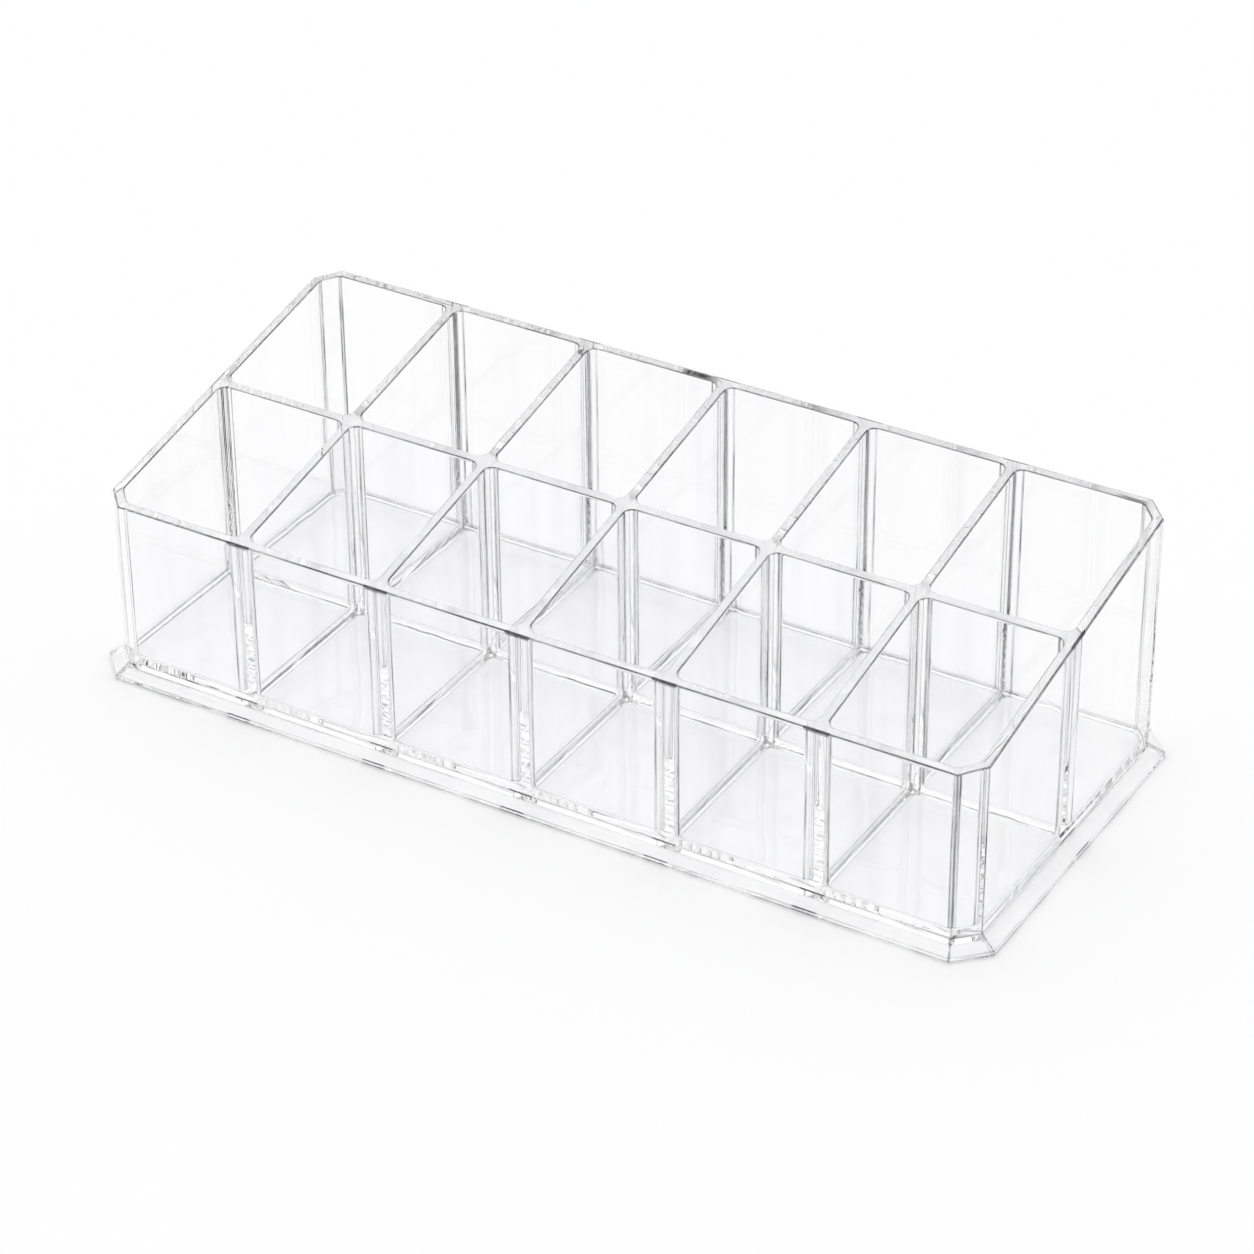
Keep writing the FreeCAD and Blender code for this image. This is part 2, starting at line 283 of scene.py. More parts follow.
def arc_spots(centre, radius, start, turn, owners, lines):
    """Spots along an arc; owners gives the owner of each step and, last, of the run after the arc."""
    spots = []
    steps = len(owners) - 1
    for step in range(steps + 1):
        angle = start + turn * step / steps
        way = (math.cos(angle), math.sin(angle))
        x = centre[0] + radius * way[0]
        y = centre[1] + radius * way[1]
        spots.append(Spot(x, y, way, owners[step], lines[step]))
    return spots


def rounded_corner(corner, quarter, radius, owner, following):
    """A hollow quarter round owned by one piece."""
    inward = ((-1, 1), (-1, -1), (1, -1), (1, 1))[quarter]
    centre = (corner[0] + inward[0] * radius, corner[1] + inward[1] * radius)
    start = (quarter - 1) * math.pi / 2
    owners = [owner] * ARC_STEPS + [following]
    return arc_spots(centre, radius, start, math.pi / 2, owners, HOLLOW_LINE)


def clipped_corner(corner, quarter, cut, radius, before, owner, following):
    """A clipped corner whose two bends are mitre lines between three pieces."""
    start = (quarter - 1) * math.pi / 2
    first_way = (math.cos(start), math.sin(start))
    second_way = (math.cos(start + math.pi / 2), math.sin(start + math.pi / 2))
    first_bend = (corner[0] - second_way[0] * cut, corner[1] - second_way[1] * cut)
    second_bend = (corner[0] - first_way[0] * cut, corner[1] - first_way[1] * cut)
    bends = (
        (first_bend, start, before, owner),
        (second_bend, start + math.pi / 4, owner, following),
    )
    spots = []
    for bend, angle, one_side, other_side in bends:
        middle = angle + math.pi / 8
        reach = radius / math.cos(math.pi / 8)
        centre = (bend[0] - math.cos(middle) * reach, bend[1] - math.sin(middle) * reach)
        owners = [one_side] * CLIP_STEPS + [other_side] * (CLIP_STEPS + 1)
        spots.extend(arc_spots(centre, radius, angle, math.pi / 4, owners, BEND_LINE))
    return spots


def dashes(plan, offset, quarter, dash):
    """Spots along the outer face of a wall, at which its level lines darken with a painted dash where a
    divider meets it.
    """
    half_x = plan.half_x + offset
    half_y = plan.half_y + offset
    reach = plan.half_divider + plan.sizes.hollow_round
    along_x = quarter in (0, 2)
    stations = [0.0]
    if along_x:
        stations = [plan.pitch * (number - COLUMNS / 2) for number in range(1, COLUMNS)]
    turn = (1, 1, -1, -1)[quarter]
    way = ((0, -1), (1, 0), (0, 1), (-1, 0))[quarter]
    spots = []
    for station in stations[::turn]:
        for shift, share in DASH_LINE:
            place = station + turn * shift * reach
            x = place if along_x else way[0] * half_x
            y = way[1] * half_y if along_x else place
            spots.append(Spot(x, y, way, SIDES[quarter], 0.0, dash * share))
    return spots


def outline(plan, offset, radius, dash):
    """The clipped rectangle round the walls, moved out by an offset."""
    half_x = plan.half_x + offset
    half_y = plan.half_y + offset
    cut = plan.sizes.corner_cut + offset * LEG_PER_OFFSET
    corners = ((half_x, -half_y), (half_x, half_y), (-half_x, half_y), (-half_x, -half_y))
    spots = []
    for quarter, corner in enumerate(corners):
        spots.extend(dashes(plan, offset, quarter, dash))
        spots.extend(clipped_corner(
            corner, quarter, cut, radius, SIDES[quarter], CORNERS[quarter], SIDES[(quarter + 1) % 4]))
    return spots


def shoulders(start, end):
    """Spots a little way in from both ends of a straight run."""
    whole = math.hypot(end.x - start.x, end.y - start.y)
    spots = []
    for share in (SHOULDER / whole, 1 - SHOULDER / whole):
        x = start.x + (end.x - start.x) * share
        y = start.y + (end.y - start.y) * share
        spots.append(Spot(x, y, start.way, start.owner))
    return spots


def compartment(plan, column, row):
    """The plan line of one compartment, anticlockwise."""
    sizes = plan.sizes
    left = -plan.inner_x + column * plan.pitch
    right = left + plan.cell_width
    front = (-plan.inner_y, plan.half_divider)[row]
    rear = (-plan.half_divider, plan.inner_y)[row]
    divider_name = ROW_NAMES[row] + "_divider_"
    right_piece = divider_name + str(column + 1) if column < COLUMNS - 1 else "right_wall"
    left_piece = divider_name + str(column) if column > 0 else "left_wall"
    sides = (
        ("front_wall", LONG_DIVIDER)[row], right_piece, (LONG_DIVIDER, "rear_wall")[row], left_piece)
    corners = ((right, front), (right, rear), (left, rear), (left, front))
    at_end = (right_piece == "right_wall",) * 2 + (left_piece == "left_wall",) * 2
    outer_row = (0, 1, 1, 0)
    turns = []
    for quarter, corner in enumerate(corners):
        following = sides[(quarter + 1) % 4]
        if at_end[quarter] and outer_row[quarter] == row:
            turns.append(clipped_corner(
                corner, quarter, plan.inner_cut, sizes.clip_round,
                sides[quarter], CORNERS[quarter], following))
        else:
            cross_piece = (right_piece, right_piece, left_piece, left_piece)[quarter]
            owner = LONG_DIVIDER if at_end[quarter] else cross_piece
            turns.append(rounded_corner(corner, quarter, sizes.hollow_round, owner, following))
    spots = []
    for turn, following in zip(turns, turns[1:] + turns[:1]):
        spots.extend(turn + shoulders(turn[-1], following[0]))
    return spots


def run_of(spots, owner):
    """The unbroken run of spots that belongs to one piece, with the spot that ends it."""
    count = len(spots)
    starts = [n for n in range(count) if spots[n].owner == owner and spots[n - 1].owner != owner]
    run = []
    for start in starts:
        step = start
        while spots[step % count].owner == owner:
            run.append(spots[step % count])
            step += 1
        run.append(spots[step % count])
    return run


def line_widths(plan, run, rounding):
    """Width of the rim's painted line at each spot; it narrows to nothing where a hollow round ends at a
    joint.
    """
    widths = [plan.sizes.rim_line] * len(run)
    reach = plan.sizes.hollow_round + rounding
    for numbers in (range(ARC_STEPS // 2), range(-1, -ARC_STEPS // 2, -1)):
        if len(run) < ARC_STEPS or run[numbers[0]].way == run[numbers[1]].way:
            continue
        end = Vector(run[numbers[0]].way)
        for number in numbers:
            room = reach * (1 / end.dot(Vector(run[number].way)) - 1)
            widths[number] = min(widths[number], room / 2)
    return widths


def upright_column(plan, spot, rounding, side, line_width, painted_rim_reflection):
    """Points down one upright line: the rim's painted edge line and painted rim reflection, round the
    edge, then straight to the seat.
    """
    x, y = spot.moved(side * (rounding + line_width), 0)[:2]
    points = [(x, y, plan.rim(y), painted_rim_reflection, 0.0)]
    for step in range(RIM_STEPS + 1):
        angle = step * math.pi / 2 / RIM_STEPS
        inset = side * rounding * (1 - math.sin(angle))
        x, y, _, line, upright = spot.moved(inset, 0, RIM_LINE[step])
        level = plan.rim(y) - rounding * (1 - math.cos(angle))
        points.append((x, y, level, line, upright if step else 0.0))
    x, y, _, _, upright = spot.moved(0, 0)
    for share, strength in DASH_RINGS:
        level = plan.rim(y) - rounding - plan.sizes.rim_dash * share
        points.append((x, y, level, spot.dash * strength, upright))
    points.append(spot.moved(0, plan.seat))
    return points


def visits(piece):
    """The compartments that a piece borders, in the order in which its plan line passes them."""
    last = COLUMNS - 1
    ends = {
        "right_wall": [(last, 0), (last, 1)],
        "left_wall": [(0, 1), (0, 0)],
        "front_right_corner": [(last, 0)],
        "rear_right_corner": [(last, 1)],
        "rear_left_corner": [(0, 1)],
        "front_left_corner": [(0, 0)],
    }
    if piece in ends:
        return ends[piece]
    front_row = [(column, 0) for column in range(COLUMNS)]
    rear_row = [(column, 1) for column in range(COLUMNS)]
    if piece == "front_wall":
        return front_row
    if piece == "rear_wall":
        return rear_row[::-1]
    if piece == LONG_DIVIDER:
        return front_row[::-1] + rear_row
    row = ROW_NAMES.index(piece.split("_")[0])
    station = int(piece.split("_")[-1])
    return [(station - 1, row), (station, row)]


def upright_ring(plan, piece):
    """Columns round an upright piece, each with the kind of cemented joint that follows it, if any."""
    ring = []
    mitred = piece in SIDES + CORNERS
    # Cross dividers get a painted grey reflection on their rims; the others get none.
    painted_rim_reflection = 0.0 if mitred or piece == LONG_DIVIDER else CROSS_RIM_PAINTED_REFLECTION
    passed = visits(piece)
    for column, row in passed:
        run = run_of(compartment(plan, column, row), piece)
        rounding = plan.sizes.inner_rim_round
        widths = line_widths(plan, run, rounding)
        columns = [
            upright_column(plan, spot, rounding, 1, width, painted_rim_reflection) for spot, width in zip(run, widths)]
        for points, outermost in ((columns[0], passed[0]), (columns[-1], passed[-1])):
            if not (mitred and (column, row) == outermost):
                points[1] = points[1][:3] + BARE
                if (Vector(points[0][:3]) - Vector(points[1][:3])).length < FINE:
                    points[0] = points[1]
        ring.extend((points, None) for points in columns[:-1])
        ring.append((columns[-1], "butt"))
    if mitred:
        ring[-1] = (ring[-1][0], "mitre")
        run = run_of(outline(plan, 0, plan.sizes.corner_round, WALL_DASH), piece)[::-1]
        rounding = plan.sizes.outer_rim_round
        width = plan.sizes.rim_line
        columns = [upright_column(plan, spot, rounding, -1, width, painted_rim_reflection) for spot in run]
        ring.extend((points, None) for points in columns[:-1])
        ring.append((columns[-1], "mitre"))
    return ring


def upright_faces(ring):
    """Faces of an upright piece: its sides, its rim and the joint at its foot."""
    faces = []
    rim = []
    for number, (points, joint) in enumerate(ring):
        following = ring[(number + 1) % len(ring)][0]
        rim.append(points[0])
        if joint == "mitre":
            faces.append((points + following[::-1], True))
            continue
        if joint == "butt":
            rim.extend((points[1], following[1]))
        for upper in range(int(joint == "butt"), len(points) - 1):
            lower = upper + 1
            corners = (points[upper], following[upper], following[lower], points[lower])
            faces.append((corners, joint == "butt"))
    faces.append((rim, False))
    faces.append(([points[-1] for points, _ in ring], True))
    return faces


def bands(rings):
    """Faces between closed rings of as many points each."""
    faces = []
    for upper, lower in zip(rings, rings[1:]):
        count = len(upper)
        for number in range(count):
            after = (number + 1) % count
            faces.append(((upper[number], upper[after], lower[after], lower[number]), False))
    return faces


def eased(corners):
    """A profile of corners with each rounded one drawn as a short curve.

    A corner is its offset, level and rounding, the painted line where the curve starts and the painted
    line along it.
    """
    points = []
    for number, (across, level, rounding, start_line, curve_line) in enumerate(corners):
        lines = (start_line,) + (curve_line,) * (EDGE_STEPS - 1) + (0.0,)
        here = Vector((across, level))
        if rounding == 0:
            points.append((here, 0.0))
            continue
        before = Vector(corners[number - 1][:2])
        after = Vector(corners[number + 1][:2])
        start = here + (before - here).normalized() * rounding
        end = here + (after - here).normalized() * rounding
        for step in range(EDGE_STEPS + 1):
            share = step / EDGE_STEPS
            curve = start.lerp(here, share).lerp(here.lerp(end, share), share)
            points.append((curve, lines[step]))
    return points


def tray_faces(plan):
    """Faces of the tray: joints under the uprights, pans, plinth and hollow underside."""
    sizes = plan.sizes
    faces = []
    cross = tuple(f"{row}_divider_{station}" for row in ROW_NAMES for station in range(1, COLUMNS))
    for piece in SIDES + CORNERS + (LONG_DIVIDER,) + cross:
        faces.append(([points[-1] for points, _ in upright_ring(plan, piece)], True))
    for row in range(len(ROW_NAMES)):
        for column in range(COLUMNS):
            spots = compartment(plan, column, row)
            rings = [[spot.moved(0, plan.seat) for spot in spots]]
            for step in range(PAN_STEPS + 1):
                angle = step * math.pi / 2 / PAN_STEPS
                inset = sizes.pan_round * (1 - math.cos(angle))
                level = plan.floor + sizes.pan_round * (1 - math.sin(angle))
                rings.append([spot.moved(-inset, level, PAN_LINE[step]) for spot in spots])
            rings[-1] = [point[:3] + BARE for point in rings[-1]]
            faces.extend(bands(rings))
            faces.append((rings[-1], False))
    foot_inside = sizes.plinth_reach - sizes.foot_width
    bevel_height = plan.bevel_top - sizes.plinth_lip
    roof_edge = foot_inside - sizes.recess_depth * sizes.plinth_reach / bevel_height
    # The plinth's bevel, lip and foot carry painted dark lines standing in for reflections and
    # refractions.
    profile = eased((
        (0, plan.seat, 0, 0, 0),
        (0, plan.bevel_top, sizes.plinth_round, 0, BEVEL_LINE),
        (sizes.plinth_reach, sizes.plinth_lip, sizes.plinth_round, 0, LIP_LINE),
        (sizes.plinth_reach, sizes.plinth_lip / 2, 0, 0, 0),
        (sizes.plinth_reach, 0, sizes.plinth_round, *FOOT_LINE),
        (foot_inside, 0, 0, 0, 0),
        (roof_edge, sizes.recess_depth, 0, 0, 0),
    ))
    rings = []
    for (across, level), line in profile:
        spots = outline(plan, across, sizes.corner_round, PLINTH_DASH)
        rings.append([spot.moved(0, level, line) for spot in spots])
    rings[-1] = [point[:3] + BARE for point in rings[-1]]
    faces.extend(bands(rings))
    faces.append((rings[-1], False))
    return faces


def mesh_from(name, faces):
    """A closed mesh with outward faces; joint faces are marked and take the second material."""
    places = {}
    points = []
    levels = []
    uprights = []
    loops = []
    joints = []
    for corners, joint in faces:
        loop = []
        for corner in corners:
            key = tuple(round(value, 8) for value in corner[:3])
            if key not in places:
                places[key] = len(points)
                points.append(corner[:3])
                levels.append(corner[3])
                uprights.append(corner[4])
            if places[key] not in loop:
                loop.append(places[key])
        if len(loop) > 2:
            loops.append(loop)
            joints.append(joint)
    mesh = bpy.data.meshes.new(name)
    mesh.from_pydata(points, [], loops)
    mark = mesh.attributes.new(JOINT_MARK, "BOOLEAN", "FACE")
    mark.data.foreach_set("value", joints)
    for line_name, values in ((LEVEL_MARK, levels), (UPRIGHT_MARK, uprights)):
        line = mesh.attributes.new(line_name, "FLOAT", "POINT")
        line.data.foreach_set("value", values)
    mesh.polygons.foreach_set("material_index", [int(joint) for joint in joints])
    work = bmesh.new()
    work.from_mesh(mesh)
    bmesh.ops.recalc_face_normals(work, faces=work.faces)
    if any(not edge.is_manifold for edge in work.edges):
        raise RuntimeError(f"{name} is not closed")
    if work.calc_volume(signed=True) < 0:
        bmesh.ops.reverse_faces(work, faces=work.faces)
    work.to_mesh(mesh)
    work.free()
    mesh.shade_smooth()
    mesh.set_sharp_from_angle(angle=SHARP_ANGLE)
    return mesh


def evaluated_mesh(piece, name):
    """The piece's mesh with its modifiers worked in."""
    piece.update_tag()
    bpy.context.view_layer.update()
    graph = bpy.context.evaluated_depsgraph_get()
    mesh = bpy.data.meshes.new_from_object(
        piece.evaluated_get(graph), preserve_all_data_layers=True, depsgraph=graph)
    mesh.name = name
    return mesh


def settle(piece):
    """Works the modifiers into the piece's mesh and removes them."""
    before = piece.data
    mesh = evaluated_mesh(piece, piece.name)
    piece.modifiers.clear()
    piece.data = mesh
    bpy.data.meshes.remove(before)


def true_flat_shading(piece):
    """Keeps flat panels optically flat right up to their rounded edges."""
    weigh = piece.modifiers.new("flat_panels", "WEIGHTED_NORMAL")
    weigh.mode = "FACE_AREA"
    weigh.weight = 100
    weigh.keep_sharp = True
    settle(piece)


def place(piece, node):
    """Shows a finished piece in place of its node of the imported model."""
    true_flat_shading(piece)
    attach(piece, "root")
    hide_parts(node)


def clear_piece(context, name, faces):
    """A new piece of clear plastic with cemented joints."""
    mesh = mesh_from(name, faces)
    mesh.materials.append(clear_plastic(context.scene.organizer_finish))
    mesh.materials.append(cemented_joint())
    piece = bpy.data.objects.new(name, mesh)
    context.scene.collection.objects.link(piece)
    return piece


class Value:
    """A socket's value, on which ordinary sums add Math nodes."""

    def __init__(self, shader, socket):
        self.shader = shader
        self.socket = socket

    def sum(self, operation, first, second):
        placed = self.shader.add("ShaderNodeMath", {"operation": operation}, {0: first, 1: second})
        return placed["Value"]

    def __add__(self, other):
        return self.sum("ADD", self, other)

    def __radd__(self, other):
        return self.sum("ADD", other, self)

    def __sub__(self, other):
        return self.sum("SUBTRACT", self, other)

    def __rsub__(self, other):
        return self.sum("SUBTRACT", other, self)

    def __mul__(self, other):
        return self.sum("MULTIPLY", self, other)

    def __rmul__(self, other):
        return self.sum("MULTIPLY", other, self)


class Placed:
    """A node in a shader, whose outputs are read by name."""

    def __init__(self, shader, node):
        self.shader = shader
        self.node = node

    def __getitem__(self, name):
        return Value(self.shader, self.node.outputs[name])


class Shader:
    """A node tree being wired."""

    def __init__(self, tree):
        self.tree = tree
        tree.nodes.clear()

    def add(self, kind, settings=None, sockets=None):
        """Adds a node: settings first, then values or links of its sockets."""
        node = self.tree.nodes.new(kind)
        for name, setting in (settings or {}).items():
            setattr(node, name, setting)
        for name, value in (sockets or {}).items():
            if isinstance(value, Value):
                self.tree.links.new(value.socket, node.inputs[name])
            else:
                node.inputs[name].default_value = value
        return Placed(self, node)

    def noise(self, grain, detail):
        """Cloudy values over the piece, with a number of features per metre along each axis."""
        where = self.add("ShaderNodeTexCoord")["Object"]
        turned = self.add("ShaderNodeMapping", None, {"Vector": where, "Scale": grain})["Vector"]
        return self.add(
            "ShaderNodeTexNoise", {"noise_dimensions": "3D"},
            {"Vector": turned, "Scale": 1.0, "Detail": detail, "Roughness": 0.55})["Fac"]

    def ramp(self, value, start, end):
        """Nought up to the start, one from the end on, and a smooth rise between."""
        return self.add(
            "ShaderNodeMapRange", {"interpolation_type": "SMOOTHSTEP", "clamp": True},
            {"Value": value, "From Min": start, "From Max": end, "To Min": 0.0, "To Max": 1.0})["Result"]

    def mix(self, share, first, second):
        """A colour between two others."""
        mixed = self.add("ShaderNodeMix", {"data_type": "RGBA"}, {0: share, 6: first, 7: second})
        return Value(self, mixed.node.outputs[2])


def clear_plastic(finish):
    """Clear plastic: faint flow streaks, patches of haze, a slow waviness, and painted dark lines along
    edges that stand in for reflections and refractions.
    """
    name = "clear_plastic_panel"
    if name in bpy.data.materials:
        return bpy.data.materials[name]
    material = bpy.data.materials.new(name)
    material.use_nodes = True
    shader = Shader(material.node_tree)
    streaks = shader.ramp(shader.noise(STREAK_GRAIN, 3.0), 0.45, 0.75)
    patches = shader.ramp(shader.noise(HAZE_GRAIN, 4.0), 0.45, 0.8)
    waves = shader.noise(WAVE_GRAIN, 1.0)
    sheet = shader.mix(streaks, (*finish.clear_tint, 1.0), (*finish.flow_tint, 1.0))
    # Painted reflection and refraction lines: the attributes say where the dark lines go and noise breaks
    # them up; they stay put whatever the light.
    level = shader.add("ShaderNodeAttribute", {"attribute_name": LEVEL_MARK})["Fac"]
    upright = shader.add("ShaderNodeAttribute", {"attribute_name": UPRIGHT_MARK})["Fac"]
    level_breaks = shader.ramp(shader.noise(LEVEL_BREAK_GRAIN, 3.0), 0.35, 0.62)
    upright_breaks = shader.ramp(shader.noise(UPRIGHT_BREAK_GRAIN, 3.0), 0.35, 0.65)
    lines = shader.ramp(level, 0.25, 1.1) * (0.35 + level_breaks * 0.65)
    lines = lines + shader.ramp(level, 1.1, 1.6)
    lines = lines + shader.ramp(upright, 0.4, 1.0) * (0.35 + upright_breaks * 0.65)
    tint = shader.mix(lines, sheet, (*finish.line_tint, 1.0))
    bump = shader.add(
        "ShaderNodeBump", None, {"Strength": finish.ripple, "Distance": 0.001, "Height": waves})["Normal"]
    surface = shader.add("ShaderNodeBsdfPrincipled", None, {
        "Base Color": tint,
        "Roughness": finish.smoothest + patches * finish.haze,
        "IOR": REFRACTION,
        "Transmission Weight": 1.0,
        "Normal": bump,
    })["BSDF"]
    shader.add("ShaderNodeOutputMaterial", None, {"Surface": surface})
    return material


def cemented_joint():
    """A cemented joint in clear plastic, which light passes as if the plastic went on."""
    name = "cemented_joint"
    if name in bpy.data.materials:
        return bpy.data.materials[name]
    material = bpy.data.materials.new(name)
    material.use_nodes = True
    shader = Shader(material.node_tree)
    clear = shader.add("ShaderNodeBsdfTransparent", None, {"Color": (1.0, 1.0, 1.0, 1.0)})["BSDF"]
    shader.add("ShaderNodeOutputMaterial", None, {"Surface": clear})
    return material


def divider_row_tree():
    """Nodes that set one divider of a row at its station and give it its materials."""
    tree = bpy.data.node_groups.new("divider_row", "GeometryNodeTree")
    for socket_name, kind in (
            ("Divider", "NodeSocketGeometry"),
            ("Stations", "NodeSocketInt"),
            ("Station", "NodeSocketInt"),
            ("Pitch", "NodeSocketFloat"),
            ("Plastic", "NodeSocketMaterial"),
            ("Joint", "NodeSocketMaterial")):
        tree.interface.new_socket(socket_name, in_out="INPUT", socket_type=kind)
    tree.interface.new_socket("Row", in_out="OUTPUT", socket_type="NodeSocketGeometry")
    nodes = Shader(tree)
    given = nodes.add("NodeGroupInput")
    step = nodes.add("ShaderNodeCombineXYZ", None, {"X": given["Pitch"]})["Vector"]
    stations = nodes.add(
        "GeometryNodeMeshLine", {"mode": "OFFSET"}, {"Count": given["Stations"], "Offset": step})
    chosen = nodes.add(
        "FunctionNodeCompare", {"data_type": "INT", "operation": "EQUAL"},
        {2: nodes.add("GeometryNodeInputIndex")["Index"], 3: given["Station"]})
    stood = nodes.add("GeometryNodeInstanceOnPoints", None, {
        "Points": stations["Mesh"], "Selection": chosen["Result"], "Instance": given["Divider"]})
    real = nodes.add("GeometryNodeRealizeInstances", None, {"Geometry": stood["Instances"]})
    clear = nodes.add("GeometryNodeSetMaterial", None, {
        "Geometry": real["Geometry"], "Material": given["Plastic"]})
    mark = nodes.add("GeometryNodeInputNamedAttribute", {"data_type": "BOOLEAN"}, {"Name": JOINT_MARK})
    joined = nodes.add("GeometryNodeSetMaterial", None, {
        "Geometry": clear["Geometry"], "Selection": mark["Attribute"], "Material": given["Joint"]})
    nodes.add("NodeGroupOutput", None, {"Row": joined["Geometry"]})
    return tree


def socket_key(tree, name):
    """The key by which a modifier sets a named input of its node group."""
    return next(item.identifier for item in tree.interface.items_tree
                if item.name == name and item.in_out == "INPUT")


class OrganizerTray(bpy.types.Operator):
    """Makes the tray with its plinth, its twelve pans and its hollow underside"""
    bl_idname = "organizer.tray"
    bl_label = "Tray"

    def execute(self, context):
        plan = Plan(context.scene.organizer_sizes)
        place(clear_piece(context, "tray_moulding", tray_faces(plan)), "base_tray")
        return {"FINISHED"}


class OrganizerWalls(bpy.types.Operator):
    """Makes the four walls and the four narrow corner panels"""
    bl_idname = "organizer.walls"
    bl_label = "Walls and corners"

    def execute(self, context):
        plan = Plan(context.scene.organizer_sizes)
        for node in SIDES + CORNERS:
            faces = upright_faces(upright_ring(plan, node))
            place(clear_piece(context, node + "_panel", faces), node)
        return {"FINISHED"}


class OrganizerLongDivider(bpy.types.Operator):
    """Makes the divider that runs from end wall to end wall"""
    bl_idname = "organizer.long_divider"
    bl_label = "Long divider"

    def execute(self, context):
        plan = Plan(context.scene.organizer_sizes)
        faces = upright_faces(upright_ring(plan, LONG_DIVIDER))
        place(clear_piece(context, LONG_DIVIDER + "_panel", faces), LONG_DIVIDER)
        return {"FINISHED"}


class OrganizerCrossDividers(bpy.types.Operator):
    """Makes the five cross dividers of each row from one pattern per row"""
    bl_idname = "organizer.cross_dividers"
    bl_label = "Cross dividers"

    def execute(self, context):
        plan = Plan(context.scene.organizer_sizes)
        tree = divider_row_tree()
        for row in ROW_NAMES:
            faces = upright_faces(upright_ring(plan, f"{row}_divider_1"))
            for station in range(1, COLUMNS):
                piece = clear_piece(context, f"{row}_divider_panel_{station}", faces)
                repeat = piece.modifiers.new("row", "NODES")
                repeat.node_group = tree
                inputs = {
                    "Stations": COLUMNS - 1,
                    "Station": station - 1,
                    "Pitch": plan.pitch,
                    "Plastic": piece.data.materials[0],
                    "Joint": piece.data.materials[1],
                }
                for name, value in inputs.items():
                    repeat[socket_key(tree, name)] = value
                settle(piece)
                place(piece, f"{row}_divider_{station}")
        return {"FINISHED"}


class OrganizerSetStage(bpy.types.Operator):
    """Sets the floor, the soft light and the camera"""
    bl_idname = "organizer.set_stage"
    bl_label = "Stage"

    def execute(self, context):
        stage = context.scene.organizer_stage
        scene = context.scene
        half = stage.floor_size / 2
        corners = ((-half, -half), (half, -half), (half, half), (-half, half))
        mesh = bpy.data.meshes.new("studio_floor")
        mesh.from_pydata([(x, y, -FLOOR_DROP) for x, y in corners], [], [(0, 1, 2, 3)])
        mesh.materials.append(floor_paper(stage))
        floor = bpy.data.objects.new("studio_floor", mesh)
        scene.collection.objects.link(floor)
        scene.world = room_light(stage)
        scene.view_settings.view_transform = "Standard"
        for name, value in LIGHT_PATHS.items():
            setattr(scene.cycles, name, value)
        lens = bpy.data.cameras.new("photo_camera")
        lens.sensor_width = SENSOR_WIDTH
        lens.lens = stage.lens
        lens.clip_end = 100.0
        lens.shift_x, lens.shift_y = CAMERA_SHIFT
        look = Vector(CAMERA_LOOK).normalized()
        up = Vector(CAMERA_UP).normalized()
        turn = Matrix((look.cross(up), up, -look)).transposed().to_4x4()
        camera = bpy.data.objects.new("photo_camera", lens)
        camera.matrix_world = Matrix.Translation(CAMERA_PLACE) @ turn
        scene.collection.objects.link(camera)
        scene.camera = camera
        return {"FINISHED"}


def floor_paper(stage):
    """White card with a faint tooth."""
    material = bpy.data.materials.new("white_card")
    material.use_nodes = True
    shader = Shader(material.node_tree)
    tooth = shader.noise(CARD_GRAIN, 2.0)
    bump = shader.add(
        "ShaderNodeBump", None, {"Strength": 0.03, "Distance": 0.0005, "Height": tooth})["Normal"]
    surface = shader.add("ShaderNodeBsdfDiffuse", None, {
        "Color": (*stage.floor_colour, 1.0), "Normal": bump})["BSDF"]
    shader.add("ShaderNodeOutputMaterial", None, {"Surface": surface})
    return material


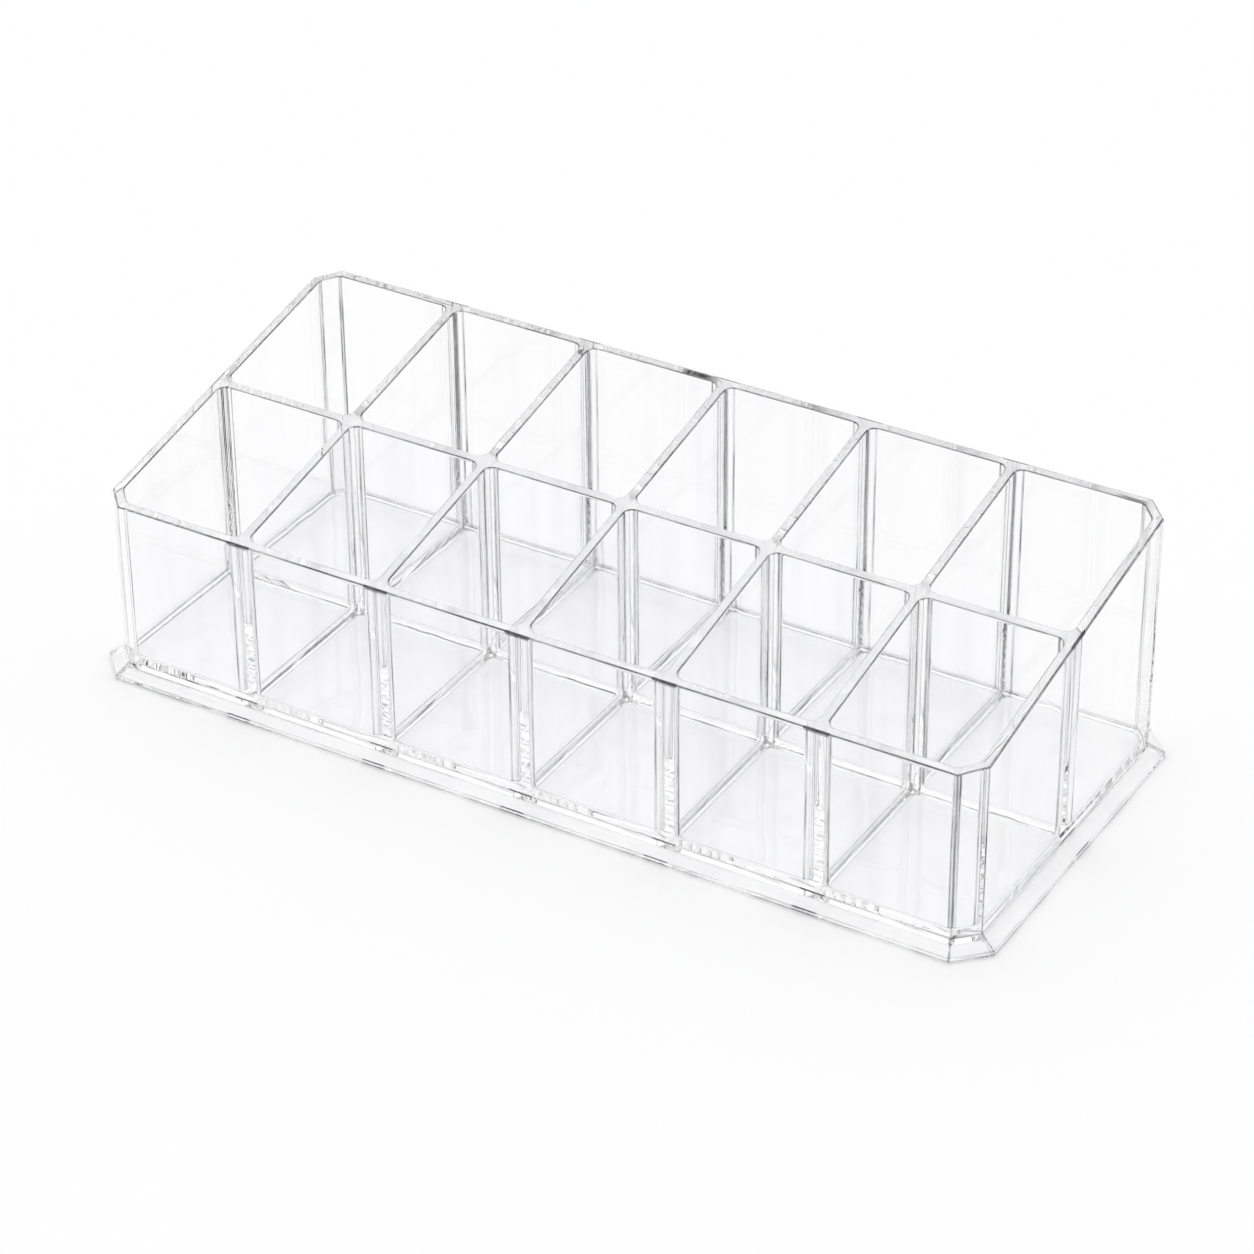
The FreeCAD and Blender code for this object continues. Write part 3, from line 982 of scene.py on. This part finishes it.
def room_light(stage):
    """A white room: bright ceiling, greyer walls half way up, white at eye level."""
    world = bpy.data.worlds.new("white_room")
    world.use_nodes = True
    shader = Shader(world.node_tree)
    way = shader.add("ShaderNodeTexCoord")["Generated"]
    height = shader.add("ShaderNodeSeparateXYZ", None, {"Vector": way})["Z"]
    dim = shader.ramp(height, *WALL_HEIGHTS)
    bright = shader.ramp(height, *CEILING_HEIGHTS)
    level = stage.horizon_light + dim * (stage.middle_light - stage.horizon_light)
    level = level + bright * (stage.top_light - stage.middle_light)
    lean = shader.add(
        "ShaderNodeVectorMath", {"operation": "DOT_PRODUCT"}, {0: way, 1: LIGHT_LEAN})["Value"]
    level = level * (1 + lean)
    light = shader.add("ShaderNodeBackground", None, {
        "Color": (1.0, 1.0, 1.0, 1.0), "Strength": level})["Background"]
    shader.add("ShaderNodeOutputWorld", None, {"Surface": light})
    return world


class OrganizerPanel(bpy.types.Panel):
    """Lists the organizer's pieces and sizes"""
    bl_idname = "VIEW3D_PT_organizer"
    bl_label = "Vanity organizer"
    bl_space_type = "VIEW_3D"
    bl_region_type = "UI"
    bl_category = "Organizer"

    def draw(self, context):
        for operator in OPERATORS:
            self.layout.operator(operator.bl_idname)
        for group_name in GROUPS:
            group = getattr(context.scene, group_name)
            box = self.layout.box()
            for name in group.__annotations__:
                box.prop(group, name)


OPERATORS = (
    OrganizerTray, OrganizerWalls, OrganizerLongDivider, OrganizerCrossDividers, OrganizerSetStage)
GROUPS = {
    "organizer_sizes": OrganizerSizes,
    "organizer_finish": OrganizerFinish,
    "organizer_stage": OrganizerStage,
}


def register():
    for group in GROUPS.values():
        bpy.utils.register_class(group)
    for operator in OPERATORS:
        bpy.utils.register_class(operator)
    bpy.utils.register_class(OrganizerPanel)
    for name, group in GROUPS.items():
        setattr(bpy.types.Scene, name, bpy.props.PointerProperty(type=group))


def unregister():
    for name in GROUPS:
        delattr(bpy.types.Scene, name)
    bpy.utils.unregister_class(OrganizerPanel)
    for operator in reversed(OPERATORS):
        bpy.utils.unregister_class(operator)
    for group in reversed(list(GROUPS.values())):
        bpy.utils.unregister_class(group)


def main():
    register()
    bpy.ops.organizer.tray()
    bpy.ops.organizer.walls()
    bpy.ops.organizer.long_divider()
    bpy.ops.organizer.cross_dividers()
    bpy.ops.organizer.set_stage()


if __name__ == "__main__":
    main()
